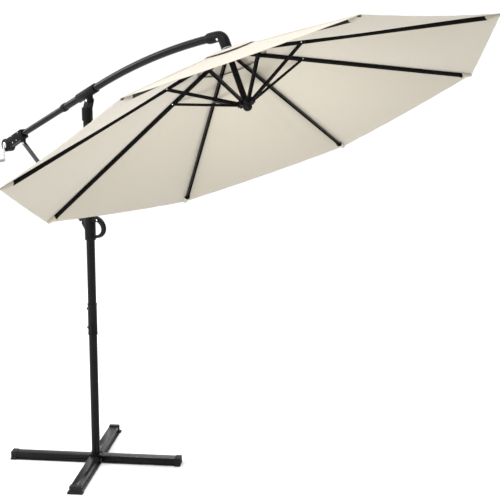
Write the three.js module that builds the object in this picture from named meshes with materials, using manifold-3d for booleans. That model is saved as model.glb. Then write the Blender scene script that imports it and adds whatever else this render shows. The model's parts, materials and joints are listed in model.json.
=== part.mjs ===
// Cantilever patio umbrella on a cross base, as an assembly of separate pieces.
// Millimetres, +Z up. Origin: centre of the crossed base, on the floor.
// +X points from the pole towards the canopy.
import * as THREE from 'three';
import { mergeVertices } from 'three/addons/utils/BufferGeometryUtils.js';
import Module from 'manifold-3d';

const wasm = await Module();
wasm.setup();

const rad = THREE.MathUtils.degToRad;
const GAP = 0.3;                 // clearance between pieces that touch
const EDGE_SIDES = 24;           // sides of the larger round sections
const SMALL_SIDES = 12;          // sides of pins and cords

// ---- driving dimensions ----
const BASE_TURN = 38.5;          // degrees from +X to the first rail
const RAIL_LENGTH = 1000;
const RAIL_FOOT_WIDTH = 80;
const RAIL_TOP_WIDTH = 56;
const RAIL_BOTTOM = 4;
const RAIL_TOP = 42;
const RAIL_WALL = 4;

const POLE_RADIUS = 24;
const POLE_WALL = 1.5;
const POLE_JOINT_Z = 850;
const POLE_TOP_Z = 2040;
const COUPLING_LOW_Z = 760;
const COUPLING_HIGH_Z = 943;
const COUPLING_KNOB_Z = [795, 905];

const PIVOT_X = 22;              // arm pivot above the pole
const PIVOT_Z = 2086;
const ARM_HEADING = 23.4;        // degrees above level, at the pivot
const ARM_AXIS_RISE = 43;        // from the pivot to the arm's centreline
const ARM_RADIUS = 20;
const ARM_LOWER_RADIUS = 17;
const ARM_WALL = 1.5;
const ARM_COLLAR_X = -233;       // along the arm, from the pivot
const ARM_BEND_START_X = 95;
const ARM_BEND_RADIUS = 4250;
const ARM_BEND_TURN = 12.4;      // degrees that the arm bows over
const ARM_TO_CORNER = 101;       // straight run from the bow to the elbow's corner
const CORNER_TO_CROWN = 97.2;

const WINCH_X = -851;
const WINCH_Z = 34;
const STRUT_TOP_X = -693;
const STRUT_TOP_Z = -8;
const STRUT_LOW = { x: -64, z: 1402 };
const SLIDER_LOW_Z = 1310;
const SLIDER_HIGH_Z = 1450;
const LEVER_PIVOT = { x: 76, z: 1430 };

const MAST_TILT = 27.3;          // degrees that the canopy leans back
const RIB_COUNT = 8;
const spokeAngle = (i) => (i + 0.5) * 360 / RIB_COUNT;
const HINGE_RADIUS = 34;         // rib and stretcher hinges, from the mast's axis
const CORNER_RADIUS = 1250;      // canopy corner, from the mast's axis
const CORNER_DROP = 392;         // canopy corner, below the crown
const POCKET_LENGTH = 52;        // from a rib's end to the canopy's corner
const RUNNER_DROP = 255;         // runner hinge below the crown hinge
const STRETCHER_AT = 345;        // along a rib, from its hinge
const RIB_WIDTH = 12;
const RIB_HEIGHT = 18;
const STRETCHER_WIDTH = 16;
const STRETCHER_HEIGHT = 12;
const SHEET = 1;                 // canopy thickness
const VENT_RADIUS = 190;
const CAP_RADIUS = 285;

// ---- finishes ----
const steel = new THREE.MeshStandardMaterial({ color: 0x17181a, roughness: 0.38, metalness: 0.6 });
const plastic = new THREE.MeshStandardMaterial({ color: 0x101113, roughness: 0.5, metalness: 0 });
const strutGrey = new THREE.MeshStandardMaterial({ color: 0x4a4b4d, roughness: 0.45, metalness: 0.5 });
const bright = new THREE.MeshStandardMaterial({ color: 0xd5d7da, roughness: 0.2, metalness: 1 });
const gripGrey = new THREE.MeshStandardMaterial({ color: 0x8c8e90, roughness: 0.5, metalness: 0 });
const cordDark = new THREE.MeshStandardMaterial({ color: 0x2a2a2a, roughness: 0.8, metalness: 0 });
const cream = new THREE.MeshStandardMaterial({ color: 0xe6ddcb, roughness: 0.85, metalness: 0 });

// ---- solids ----

// A closed geometry as a solid with its faces outwards.
function solid(geometry) {
  const bare = new THREE.BufferGeometry();
  bare.setAttribute('position', geometry.attributes.position);
  bare.setIndex(geometry.index);
  const merged = mergeVertices(bare, 1e-4);
  const source = merged.index.array;
  const corners = [];
  for (let i = 0; i < source.length; i += 3) {
    const [a, b, c] = [source[i], source[i + 1], source[i + 2]];
    if (a !== b && b !== c && c !== a) corners.push(a, b, c);
  }
  const make = (list) => new wasm.Manifold(new wasm.Mesh({
    numProp: 3,
    vertProperties: Float32Array.from(merged.attributes.position.array),
    triVerts: Uint32Array.from(list),
  }));
  const made = make(corners);
  return made.volume() > 0 ? made : make(corners.reverse());
}

function geometryOf(body) {
  const mesh = body.getMesh();
  const geometry = new THREE.BufferGeometry();
  geometry.setAttribute('position', new THREE.BufferAttribute(mesh.vertProperties, 3));
  geometry.setIndex(new THREE.BufferAttribute(mesh.triVerts, 1));
  geometry.computeVertexNormals();
  return geometry;
}

const join = (...pieces) => geometryOf(pieces.map(solid).reduce((a, b) => a.add(b)));
const cut = (piece, ...tools) => geometryOf(tools.map(solid).reduce((a, b) => a.subtract(b), solid(piece)));
const common = (a, b) => geometryOf(solid(a).intersect(solid(b)));

// Turns a section drawn in (across, up) and extruded along +Z so that it runs along +X.
const ALONG_X = new THREE.Matrix4().makeBasis(
  new THREE.Vector3(0, 1, 0), new THREE.Vector3(0, 0, 1), new THREE.Vector3(1, 0, 0));

function polygon(points) {
  return new THREE.Shape(points.map(([x, y]) => new THREE.Vector2(x, y)));
}

function ringShape(outer, inner) {
  const shape = new THREE.Shape();
  shape.absarc(0, 0, outer, 0, 2 * Math.PI);
  if (inner > 0) {
    const hole = new THREE.Path();
    hole.absarc(0, 0, inner, 0, 2 * Math.PI, true);
    shape.holes.push(hole);
  }
  return shape;
}

function extruded(shape, depth, sides = EDGE_SIDES) {
  return new THREE.ExtrudeGeometry(shape, { depth, bevelEnabled: false, curveSegments: sides / 2 });
}

// Upright tube, or rod where inner is 0, between two heights.
function upright(outer, inner, low, high, sides = EDGE_SIDES) {
  return extruded(ringShape(outer, inner), high - low, sides).translate(0, 0, low);
}

// Tube or rod along X, at height z.
function lengthwise(outer, inner, start, end, z, sides = EDGE_SIDES) {
  return extruded(ringShape(outer, inner), end - start, sides).applyMatrix4(ALONG_X).translate(start, 0, z);
}

// Rod or tube along Y, centred on (x, z), between two values of y.
function crosswise(radius, x, z, low, high, sides = EDGE_SIDES, inner = 0) {
  return extruded(ringShape(radius, inner), high - low, sides).rotateX(Math.PI / 2).translate(x, high, z);
}

// Outline drawn in (x, z) and given a thickness between two values of y.
function plate(shape, low, high) {
  return extruded(shape, high - low).rotateX(Math.PI / 2).translate(0, high, 0);
}

function block(x0, x1, y0, y1, z0, z1) {
  return new THREE.BoxGeometry(x1 - x0, y1 - y0, z1 - z0)
    .translate((x0 + x1) / 2, (y0 + y1) / 2, (z0 + z1) / 2);
}

// Ring section swept along a smooth line through points in the (x, z) plane.
function swept(points, outer, inner, steps, sides) {
  const places = points.map(([x, z]) => new THREE.Vector3(x, 0, z));
  const extrudePath = new THREE.CatmullRomCurve3(places, false, 'centripetal');
  return new THREE.ExtrudeGeometry(ringShape(outer, inner), { steps, curveSegments: sides / 2, extrudePath });
}

// Tab with a round end of radius r at (x, z), reaching back to the upright line at baseX.
function tab(x, z, r, baseX, baseLow, baseHigh) {
  const side = Math.sign(x - baseX);
  const shape = new THREE.Shape();
  shape.moveTo(baseX, baseLow);
  shape.lineTo(x, z - r);
  shape.absarc(x, z, r, -Math.PI / 2, Math.PI / 2, side < 0);
  shape.lineTo(baseX, baseHigh);
  shape.closePath();
  return shape;
}

const parts = new THREE.Group();

function piece(name, geometry, material, parent) {
  const mesh = new THREE.Mesh(geometryOf(solid(geometry)), material);
  mesh.name = name;
  parent.add(mesh);
}

// ---- cross base ----

// Hat section: a raised rib over two flat flanges.
function hatBand() {
  const foot = RAIL_FOOT_WIDTH / 2;
  const top = RAIL_TOP_WIDTH / 2;
  const inner = top - RAIL_WALL;
  const lip = RAIL_BOTTOM + RAIL_WALL;
  return polygon([
    [-foot, RAIL_BOTTOM], [-foot, lip], [-top, lip], [-top, RAIL_TOP], [top, RAIL_TOP], [top, lip],
    [foot, lip], [foot, RAIL_BOTTOM], [inner, RAIL_BOTTOM], [inner, RAIL_TOP - RAIL_WALL],
    [-inner, RAIL_TOP - RAIL_WALL], [-inner, RAIL_BOTTOM]].reverse());
}

// The filled outline of the hat section, grown by a margin, standing on a given floor.
function hatOutline(margin, floor) {
  const foot = RAIL_FOOT_WIDTH / 2 + margin;
  const top = RAIL_TOP_WIDTH / 2 + margin;
  const lip = RAIL_BOTTOM + RAIL_WALL + margin;
  const high = RAIL_TOP + margin;
  return polygon([[-foot, floor], [foot, floor], [foot, lip], [top, lip], [top, high],
    [-top, high], [-top, lip], [-foot, lip]]);
}

function addBase() {
  const half = RAIL_LENGTH / 2;
  const capWall = 2.5;
  const capLength = 34;
  const railEnd = half - capWall - GAP;
  const lapHalf = RAIL_FOOT_WIDTH / 2 + 1;
  const lapZ = 22;
  const clear = 60;
  const rail = extruded(hatBand(), 2 * railEnd).applyMatrix4(ALONG_X).translate(-railEnd, 0, 0);
  const overRail = cut(rail, block(-lapHalf, lapHalf, -clear, clear, -1, lapZ + 2 * GAP));
  const underRail = cut(rail, block(-lapHalf, lapHalf, -clear, clear, lapZ, clear));
  const cap = cut(
    extruded(hatOutline(capWall, 0), capLength).applyMatrix4(ALONG_X),
    extruded(hatOutline(GAP, RAIL_BOTTOM - GAP), capLength).applyMatrix4(ALONG_X).translate(-capWall, 0, 0),
  ).translate(half - capLength, 0, 0);

  const first = new THREE.Group();
  first.rotation.z = rad(BASE_TURN);
  const second = new THREE.Group();
  second.rotation.z = rad(BASE_TURN + 90);
  parts.add(first, second);
  piece('base_rail_over', overRail, steel, first);
  piece('base_rail_under', underRail, steel, second);
  for (let i = 0; i < 4; i += 1) {
    const end = new THREE.Group();
    end.rotation.z = rad(BASE_TURN + 90 * i);
    parts.add(end);
    piece(`foot_cap_${i + 1}`, cap, plastic, end);
  }

  const padHalf = 38;
  const pad = block(-padHalf, padHalf, -padHalf, padHalf, 0, RAIL_BOTTOM - GAP);
  piece('centre_pad', pad.rotateZ(rad(BASE_TURN)), plastic, parts);

  const flangeLow = RAIL_TOP + GAP;
  const flangeHigh = flangeLow + 4;
  const flangeHalf = 34;
  const flange = block(-flangeHalf, flangeHalf, -flangeHalf, flangeHalf, flangeLow, flangeHigh);
  const stubRadius = POLE_RADIUS - POLE_WALL - 0.5;
  const stub = upright(stubRadius, stubRadius - 2, flangeHigh - 1, 190);
  piece('base_post', join(flange.rotateZ(rad(BASE_TURN)), stub), steel, parts);
  return flangeHigh + GAP;
}

// ---- pole ----

function addPole(poleFoot) {
  const inner = POLE_RADIUS - POLE_WALL;
  const collarInner = POLE_RADIUS + 0.4;
  const collarOuter = POLE_RADIUS + 3;
  const screw = 4;
  const headRadius = 11;
  const holes = COUPLING_KNOB_Z.map((z) => lengthwise(screw + 0.4, 0, -60, 0, z, SMALL_SIDES));
  piece('pole_lower', cut(upright(POLE_RADIUS, inner, poleFoot, POLE_JOINT_Z), holes[0]), steel, parts);
  const upper = upright(POLE_RADIUS, inner, POLE_JOINT_Z + GAP, POLE_TOP_Z);
  piece('pole_upper', cut(upper, holes[1]), steel, parts);
  const collar = upright(collarOuter, collarInner, COUPLING_LOW_Z, COUPLING_HIGH_Z);
  piece('pole_coupling', cut(collar, ...holes), steel, parts);
  COUPLING_KNOB_Z.forEach((z, i) => {
    const head = lengthwise(headRadius, 0, -collarOuter - 16, -collarOuter - GAP, z, SMALL_SIDES);
    const shank = lengthwise(screw, 0, -collarOuter - 2, -inner + 6, z, SMALL_SIDES);
    piece(`coupling_knob_${i + 1}`, join(head, shank), plastic, parts);
  });

  const bracketLow = 1976;
  const capLow = POLE_TOP_Z + GAP;
  const capHigh = capLow + 6;
  const bracketRadius = 30;
  const cheekIn = 12.6;
  const cheekOut = 19;
  const cheekRadius = 17;
  const shape = new THREE.Shape();
  shape.moveTo(-14, capHigh - 2);
  shape.lineTo(24, capHigh - 2);
  shape.lineTo(PIVOT_X + cheekRadius, PIVOT_Z);
  shape.absarc(PIVOT_X, PIVOT_Z, cheekRadius, 0, Math.PI * 0.8);
  shape.closePath();
  const bolt = 4;
  const bracket = cut(
    join(
      upright(bracketRadius, collarInner, bracketLow, capLow + 1),
      upright(bracketRadius, 0, capLow, capHigh),
      plate(shape, cheekIn, cheekOut),
      plate(shape, -cheekOut, -cheekIn),
    ),
    crosswise(bolt + 0.3, PIVOT_X, PIVOT_Z, -40, 40, SMALL_SIDES));
  piece('pole_top_bracket', bracket, plastic, parts);
  const head = 7;
  piece('arm_pivot_bolt', join(
    crosswise(bolt, PIVOT_X, PIVOT_Z, -cheekOut - 1, cheekOut + 1, SMALL_SIDES),
    crosswise(head, PIVOT_X, PIVOT_Z, cheekOut + GAP, cheekOut + 5, SMALL_SIDES),
    crosswise(head, PIVOT_X, PIVOT_Z, -cheekOut - 5, -cheekOut - GAP, SMALL_SIDES)), bright, parts);
}

// ---- slider with its locking lever ----

const STRUT_HALF = 8.5;
const STRUT_DEPTH = 18;

function addSlider() {
  const bore = POLE_RADIUS + 0.6;
  const outer = 31;
  const cheekIn = STRUT_HALF + 0.6;
  const cheekOut = 14;
  const pin = 4;
  const wedge = tab(STRUT_LOW.x, STRUT_LOW.z + 14, 16, -22, 1352, 1449);
  const earIn = 8.6;
  const earOut = 12.5;
  const ear = tab(LEVER_PIVOT.x, LEVER_PIVOT.z, 11, 22, 1416, 1448);
  const leverPin = 3;
  const sleeve = cut(
    join(
      upright(outer, 0, SLIDER_LOW_Z, SLIDER_HIGH_Z),
      plate(wedge, cheekIn, cheekOut),
      plate(wedge, -cheekOut, -cheekIn),
      plate(ear, earIn, earOut),
      plate(ear, -earOut, -earIn),
    ),
    upright(bore, 0, SLIDER_LOW_Z - 1, SLIDER_HIGH_Z + 1),
    crosswise(pin + 0.3, STRUT_LOW.x, STRUT_LOW.z, -30, 30, SMALL_SIDES),
    crosswise(leverPin + 0.3, LEVER_PIVOT.x, LEVER_PIVOT.z, -30, 30, SMALL_SIDES));
  piece('slider_sleeve', sleeve, plastic, parts);
  piece('strut_pin',
    crosswise(pin, STRUT_LOW.x, STRUT_LOW.z, -cheekOut - 2, cheekOut + 2, SMALL_SIDES), bright, parts);
  piece('lever_pin', crosswise(leverPin, LEVER_PIVOT.x, LEVER_PIVOT.z, -earOut - 1, earOut + 1, SMALL_SIDES),
    bright, parts);

  const leverX = 38;
  const loop = new THREE.Shape();
  loop.absellipse(leverX, 1388, 95, 64, -Math.PI / 2, Math.PI / 2);
  loop.lineTo(leverX, 1424);
  loop.absellipse(leverX, 1382, 70, 42, Math.PI / 2, -Math.PI / 2, true);
  loop.closePath();
  const leverHalf = 8;
  piece('lock_lever', cut(plate(loop, -leverHalf, leverHalf),
    crosswise(leverPin + 0.3, LEVER_PIVOT.x, LEVER_PIVOT.z, -30, 30, SMALL_SIDES)), plastic, parts);
}

// ---- arm: everything here is drawn along the arm, from its pivot ----

const arm = new THREE.Group();
arm.position.set(PIVOT_X, 0, PIVOT_Z);
arm.rotation.y = -rad(ARM_HEADING);

const inPlane = (angle) => new THREE.Vector2(Math.cos(rad(angle)), Math.sin(rad(angle)));
const bowEnd = new THREE.Vector2(
  ARM_BEND_START_X + ARM_BEND_RADIUS * Math.sin(rad(ARM_BEND_TURN)),
  ARM_AXIS_RISE - ARM_BEND_RADIUS * (1 - Math.cos(rad(ARM_BEND_TURN))));
const armEndWay = inPlane(-ARM_BEND_TURN);
const mastWay = inPlane(MAST_TILT - 90 - ARM_HEADING);
const corner = bowEnd.clone().addScaledVector(armEndWay, ARM_TO_CORNER);
const crownPoint = corner.clone().addScaledVector(mastWay, CORNER_TO_CROWN);
const before = (distance) => corner.clone().addScaledVector(armEndWay, -distance);
const after = (distance) => corner.clone().addScaledVector(mastWay, distance);

// Centreline of the bowed tube: straight, then an arc, then straight into the elbow.
function bowPoints(startX, lastRun) {
  const points = [[startX, ARM_AXIS_RISE], [(startX + ARM_BEND_START_X) / 2, ARM_AXIS_RISE]];
  const arcSteps = 8;
  for (let i = 0; i <= arcSteps; i += 1) {
    const turn = rad(ARM_BEND_TURN * i / arcSteps);
    points.push([ARM_BEND_START_X + ARM_BEND_RADIUS * Math.sin(turn),
      ARM_AXIS_RISE - ARM_BEND_RADIUS * (1 - Math.cos(turn))]);
  }
  points.push(before(lastRun).toArray());
  return points;
}

// Centreline of the elbow: a short straight socket, then a quarter bend down to the crown.
function elbowPoints(socketStart, bendStart, bendEnd) {
  const points = [before(socketStart).toArray(), before((socketStart + bendStart) / 2).toArray()];
  const bend = new THREE.QuadraticBezierCurve(before(bendStart), corner, after(bendEnd));
  bend.getPoints(6).forEach((p) => points.push(p.toArray()));
  return points;
}

const ARM_STEPS = 18;
const ARM_SIDES = 16;
const ELBOW_SIDES = 20;
const ARM_END_TO_CORNER = 72;    // the bowed tube ends this far before the elbow's corner
const ELBOW_SOCKET_START = 98;
const CORD_GUIDE_OFFSET = 12;    // guide pin, inward from the middle of the bend
const ELBOW_BEND_START = 36;
const ELBOW_BEND_END = 34;
const ELBOW_RADIUS = 27;
const CROWN_NECK = 26;

function addArm() {
  const lowerEnd = -735;
  const upper = bowPoints(ARM_COLLAR_X, ARM_END_TO_CORNER);
  piece('arm_upper_tube', swept(upper, ARM_RADIUS, ARM_RADIUS - ARM_WALL, ARM_STEPS, ARM_SIDES), steel, arm);
  const lower = lengthwise(
    ARM_LOWER_RADIUS, ARM_LOWER_RADIUS - ARM_WALL, lowerEnd, ARM_COLLAR_X + 60, ARM_AXIS_RISE);
  piece('arm_lower_tube', lower, steel, arm);
  const collar = cut(
    lengthwise(ARM_RADIUS + 3, 0, ARM_COLLAR_X - 16, ARM_COLLAR_X + 22, ARM_AXIS_RISE),
    lengthwise(ARM_RADIUS + 0.5, 0, ARM_COLLAR_X - GAP, ARM_COLLAR_X + 30, ARM_AXIS_RISE),
    lengthwise(ARM_LOWER_RADIUS + 0.4, 0, ARM_COLLAR_X - 30, ARM_COLLAR_X, ARM_AXIS_RISE));
  piece('arm_collar', collar, plastic, arm);

  const sleeveHalf = 84;
  const lugHalf = 12;
  const lug = new THREE.Shape();
  lug.moveTo(-34, ARM_AXIS_RISE - 12);
  lug.lineTo(-12, -5);
  lug.absarc(0, 0, 14, Math.PI * 1.15, Math.PI * 1.85);
  lug.lineTo(34, ARM_AXIS_RISE - 12);
  lug.closePath();
  const bolt = 4;
  piece('arm_pivot_sleeve', cut(
    join(lengthwise(25.5, 0, -sleeveHalf, sleeveHalf, ARM_AXIS_RISE), plate(lug, -lugHalf, lugHalf)),
    lengthwise(ARM_RADIUS + 0.5, 0, -sleeveHalf - 1, sleeveHalf + 1, ARM_AXIS_RISE),
    crosswise(bolt + 0.4, 0, 0, -40, 40, SMALL_SIDES)), plastic, arm);

  const guide = 6;
  const bendFrom = before(ELBOW_BEND_START);
  const bendTo = after(ELBOW_BEND_END);
  const bendMiddle = new THREE.QuadraticBezierCurve(bendFrom, corner, bendTo).getPoint(0.5);
  const inward = bendFrom.clone().add(bendTo).multiplyScalar(0.5).sub(corner).normalize();
  const guideAt = bendMiddle.clone().addScaledVector(inward, CORD_GUIDE_OFFSET);
  const elbowLine = elbowPoints(ELBOW_SOCKET_START, ELBOW_BEND_START, ELBOW_BEND_END);
  elbowLine.push(after(CORNER_TO_CROWN - CROWN_NECK - GAP).toArray());
  const elbow = cut(
    swept(elbowLine, ELBOW_RADIUS, ARM_RADIUS + 0.6, ARM_STEPS, ELBOW_SIDES),
    crosswise(guide + GAP, guideAt.x, guideAt.y, -40, 40, SMALL_SIDES));
  piece('arm_elbow', elbow, plastic, arm);
  const guideHalf = ELBOW_RADIUS - 1;
  const guidePin = crosswise(guide, guideAt.x, guideAt.y, -guideHalf, guideHalf, SMALL_SIDES);
  piece('cord_guide', guidePin, bright, arm);
}

// ---- winch at the arm's lower end ----

const DRUM_RADIUS = 8;
const CORD_RADIUS = 3;
const CORD_Z = WINCH_Z + DRUM_RADIUS + CORD_RADIUS + 0.4;
const CRANK_WAY = -113.4;        // crank handle's direction in the arm's own plane: it hangs straight down
const CRANK_LENGTH = 90;
const KNOB_LENGTH = 34;

function addWinch() {
  const caseRadius = 38;
  const caseHalf = 24;
  const shaft = 5;
  const neck = polygon([[WINCH_X, WINCH_Z - 26], [-664, 18], [-664, 68], [WINCH_X, WINCH_Z + 30]]);
  const strutLug = new THREE.Shape();
  strutLug.moveTo(-664, 30);
  strutLug.lineTo(-722, 30);
  strutLug.lineTo(STRUT_TOP_X - 13, STRUT_TOP_Z);
  strutLug.absarc(STRUT_TOP_X, STRUT_TOP_Z, 13, Math.PI, 2 * Math.PI);
  strutLug.closePath();
  const lugHalf = 5;
  const body = (low, high) => cut(
    join(
      crosswise(caseRadius, WINCH_X, WINCH_Z, low, high),
      plate(neck, low > 0 ? low : low + 2, low > 0 ? high - 2 : high),
      plate(strutLug, Math.max(low, -lugHalf), Math.min(high, lugHalf)),
    ),
    crosswise(25, WINCH_X, WINCH_Z, -11.5, 11.5),
    lengthwise(ARM_LOWER_RADIUS + 0.5, 0, -736, -650, ARM_AXIS_RISE),
    lengthwise(7, 0, WINCH_X + 10, -730, ARM_AXIS_RISE + 1, SMALL_SIDES),
    crosswise(shaft + 0.6, WINCH_X, WINCH_Z, -40, 14, SMALL_SIDES),
    crosswise(4.4, STRUT_TOP_X, STRUT_TOP_Z, -40, 40, SMALL_SIDES));
  piece('winch_case_front', body(-caseHalf, -GAP / 2), plastic, arm);
  piece('winch_case_back', body(GAP / 2, caseHalf), plastic, arm);

  const spool = cut(
    join(
      crosswise(DRUM_RADIUS, WINCH_X, WINCH_Z, -10, 10, SMALL_SIDES),
      crosswise(21, WINCH_X, WINCH_Z, 8, 10.5),
      crosswise(21, WINCH_X, WINCH_Z, -10.5, -8),
    ),
    crosswise(shaft + 0.2, WINCH_X, WINCH_Z, -20, 20, SMALL_SIDES));
  piece('winch_spool', spool, plastic, arm);

  const discLow = -30;
  const barLow = -37;
  const knobAt = new THREE.Vector2(WINCH_X, WINCH_Z).addScaledVector(inPlane(CRANK_WAY), CRANK_LENGTH);
  const bar = block(0, CRANK_LENGTH, barLow, discLow, -6, 6)
    .rotateY(-rad(CRANK_WAY)).translate(WINCH_X, 0, WINCH_Z);
  const pin = 3;
  piece('crank_handle', join(
    crosswise(shaft, WINCH_X, WINCH_Z, discLow - 1, 12, SMALL_SIDES),
    crosswise(18, WINCH_X, WINCH_Z, discLow, -caseHalf - 1),
    bar,
    crosswise(7, knobAt.x, knobAt.y, barLow, discLow, SMALL_SIDES),
    crosswise(pin, knobAt.x, knobAt.y, barLow - KNOB_LENGTH + 3, discLow, SMALL_SIDES)), bright, arm);
  piece('crank_knob',
    crosswise(9, knobAt.x, knobAt.y, barLow - KNOB_LENGTH - 1, barLow - 1, SMALL_SIDES * 2, pin + 0.4),
    gripGrey, arm);
}

// ---- hoisting cord: from the drum, through the arm and the elbow, down inside the mast ----

function addCord() {
  const inside = bowPoints(-150, 80).slice(1);
  const turn = elbowPoints(72, ELBOW_BEND_START, ELBOW_BEND_END).slice(2);
  const down = [CORNER_TO_CROWN, CORNER_TO_CROWN + 100, CORNER_TO_CROWN + 200, CORNER_TO_CROWN + 240];
  const line = [[WINCH_X, CORD_Z], [-700, CORD_Z], [-400, ARM_AXIS_RISE], ...inside, ...turn,
    ...down.map((distance) => after(distance).toArray())];
  piece('hoist_cord', swept(line, CORD_RADIUS, 0, 78, 8), cordDark, arm);
}

// ---- hub: drawn on the mast, from the crown's hinge plane ----

const hub = new THREE.Group();
hub.position.set(crownPoint.x, 0, crownPoint.y);
hub.rotation.y = -rad(MAST_TILT - ARM_HEADING);

// Hub disc with an open slot for each spoke.
function slottedHub(radius, low, high, slotWidth, slotStart) {
  const slots = [];
  for (let i = 0; i < RIB_COUNT; i += 1) {
    slots.push(block(slotStart, radius + 20, -slotWidth / 2, slotWidth / 2, low - 10, high + 10)
      .rotateZ(rad(spokeAngle(i))));
  }
  return cut(upright(radius, 0, low, high), ...slots);
}

const MAST_RADIUS = 15;

function addHub() {
  const bore = upright(MAST_RADIUS + 0.6, 0, -400, 60);
  const crownHalf = 11;
  const crownSlot = RIB_WIDTH + 1.6;
  const crownDisc = slottedHub(46, -crownHalf, crownHalf, crownSlot, 22.5);
  piece('crown', cut(join(crownDisc, upright(21, 0, -crownHalf, CROWN_NECK)), bore), plastic, hub);
  const low = -RUNNER_DROP - 12;
  const high = -RUNNER_DROP + 12;
  const runnerSlot = STRETCHER_WIDTH + 1.6;
  const runnerDisc = slottedHub(44, low, high, runnerSlot, 24);
  piece('runner', cut(join(runnerDisc, upright(22, 0, low - 18, low + 2)), bore), plastic, hub);
  piece('mast_tube', upright(MAST_RADIUS, MAST_RADIUS - 1.5, low - 16, CROWN_NECK + 6), steel, hub);
}

// ---- ribs, stretchers and canopy ----

// Channel section, open downwards.
function channel(width, height, wall, start, end) {
  const w = width / 2;
  const h = height / 2;
  const section = polygon([[-w, -h], [-w, h], [w, h], [w, -h], [w - wall, -h],
    [w - wall, h - wall], [-w + wall, h - wall], [-w + wall, -h]].reverse());
  return extruded(section, end - start).applyMatrix4(ALONG_X).translate(start, 0, 0);
}

// Thin eight-sided roof between two radii, with its ridges over the spokes. Heights are its underside's.
function roofShell(innerRadius, innerZ, outerRadius, outerZ) {
  const profile = [[innerRadius, innerZ], [outerRadius, outerZ], [outerRadius, outerZ + SHEET],
    [innerRadius, innerZ + SHEET], [innerRadius, innerZ]].map(([r, z]) => new THREE.Vector2(r, z));
  return new THREE.LatheGeometry(profile, RIB_COUNT, Math.PI / 2).rotateX(Math.PI / 2);
}

function addSpokes() {
  const reach = CORNER_RADIUS - HINGE_RADIUS;
  const droop = Math.atan2(CORNER_DROP, reach);
  const ribEnd = Math.hypot(reach, CORNER_DROP) - POCKET_LENGTH;
  const rib = channel(RIB_WIDTH, RIB_HEIGHT, 0.9, -5, ribEnd);

  const jointOut = STRETCHER_AT * Math.cos(droop);
  const jointDown = STRETCHER_AT * Math.sin(droop);
  const stretcherLength = Math.hypot(jointOut, RUNNER_DROP - jointDown);
  const stretcherTurn = Math.PI - Math.atan2(RUNNER_DROP - jointDown, jointOut) - droop;
  const webStart = 25;
  const overhang = 5;
  const stretcher = cut(
    channel(STRETCHER_WIDTH, STRETCHER_HEIGHT, 1.2, -overhang, stretcherLength + 6).rotateX(Math.PI),
    block(-overhang - 1, webStart, -STRETCHER_WIDTH / 2 + 1.2, STRETCHER_WIDTH / 2 - 1.2, -20, 20));

  const clearRib = RIB_HEIGHT / 2 / Math.cos(droop) + 1.5;
  const roofZ = (radius) => clearRib - (radius - HINGE_RADIUS) * Math.tan(droop);
  const capLift = 6;
  const wedgeSide = 2 * CORNER_RADIUS;
  const wedgeTall = 800;
  const wedgeFloor = -700;
  const halfStep = Math.PI / RIB_COUNT;
  const seamGap = 0.6;
  const wedgeShape = polygon([[seamGap, 0],
    [seamGap + wedgeSide * Math.cos(halfStep), -wedgeSide * Math.sin(halfStep)],
    [seamGap + wedgeSide * Math.cos(halfStep), wedgeSide * Math.sin(halfStep)]]);
  const wedge = extruded(wedgeShape, wedgeTall).translate(0, 0, wedgeFloor);
  const gore = common(roofShell(VENT_RADIUS, roofZ(VENT_RADIUS), CORNER_RADIUS, roofZ(CORNER_RADIUS)), wedge);

  for (let i = 0; i < RIB_COUNT; i += 1) {
    const spoke = new THREE.Group();
    spoke.rotation.z = rad(spokeAngle(i));
    hub.add(spoke);
    piece(`gore_${i + 1}`, gore, cream, spoke);
    const ribGroup = new THREE.Group();
    ribGroup.position.x = HINGE_RADIUS;
    ribGroup.rotation.y = droop;
    spoke.add(ribGroup);
    piece(`rib_${i + 1}`, rib, steel, ribGroup);
    const stretcherGroup = new THREE.Group();
    stretcherGroup.position.x = STRETCHER_AT;
    stretcherGroup.rotation.y = stretcherTurn;
    ribGroup.add(stretcherGroup);
    piece(`stretcher_${i + 1}`, stretcher, steel, stretcherGroup);
  }
  const cap = roofShell(31, 18, CAP_RADIUS, roofZ(CAP_RADIUS) + SHEET + capLift).rotateZ(rad(spokeAngle(0)));
  piece('vent_cap', cap, cream, hub);
}

// ---- strut between the slider and the arm ----

function addStrut() {
  const top = new THREE.Vector3(STRUT_TOP_X, 0, STRUT_TOP_Z).applyEuler(arm.rotation).add(arm.position);
  const away = new THREE.Vector2(top.x - STRUT_LOW.x, top.z - STRUT_LOW.z);
  const length = away.length();
  const r = STRUT_DEPTH / 2;
  const outline = new THREE.Shape();
  outline.absarc(0, 0, r, Math.PI / 2, 3 * Math.PI / 2);
  outline.absarc(length, 0, r, -Math.PI / 2, Math.PI / 2);
  outline.closePath();
  const bar = cut(
    plate(outline, -STRUT_HALF, STRUT_HALF),
    block(length - 36, length + 20, -5.6, 5.6, -20, 20),
    crosswise(4.4, 0, 0, -20, 20, SMALL_SIDES),
    crosswise(4.4, length, 0, -20, 20, SMALL_SIDES));
  const strut = new THREE.Group();
  strut.position.set(STRUT_LOW.x, 0, STRUT_LOW.z);
  strut.rotation.y = -away.angle();
  parts.add(strut);
  piece('strut', bar, strutGrey, strut);
}

addPole(addBase());
addSlider();
addArm();
addWinch();
addCord();
addHub();
addSpokes();
arm.add(hub);
parts.add(arm);
addStrut();

export default parts;
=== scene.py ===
"""Cantilever patio umbrella on a cross base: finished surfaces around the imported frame."""
import json

import bmesh
import bpy
import numpy as np
from mathutils import Matrix, Vector


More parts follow.
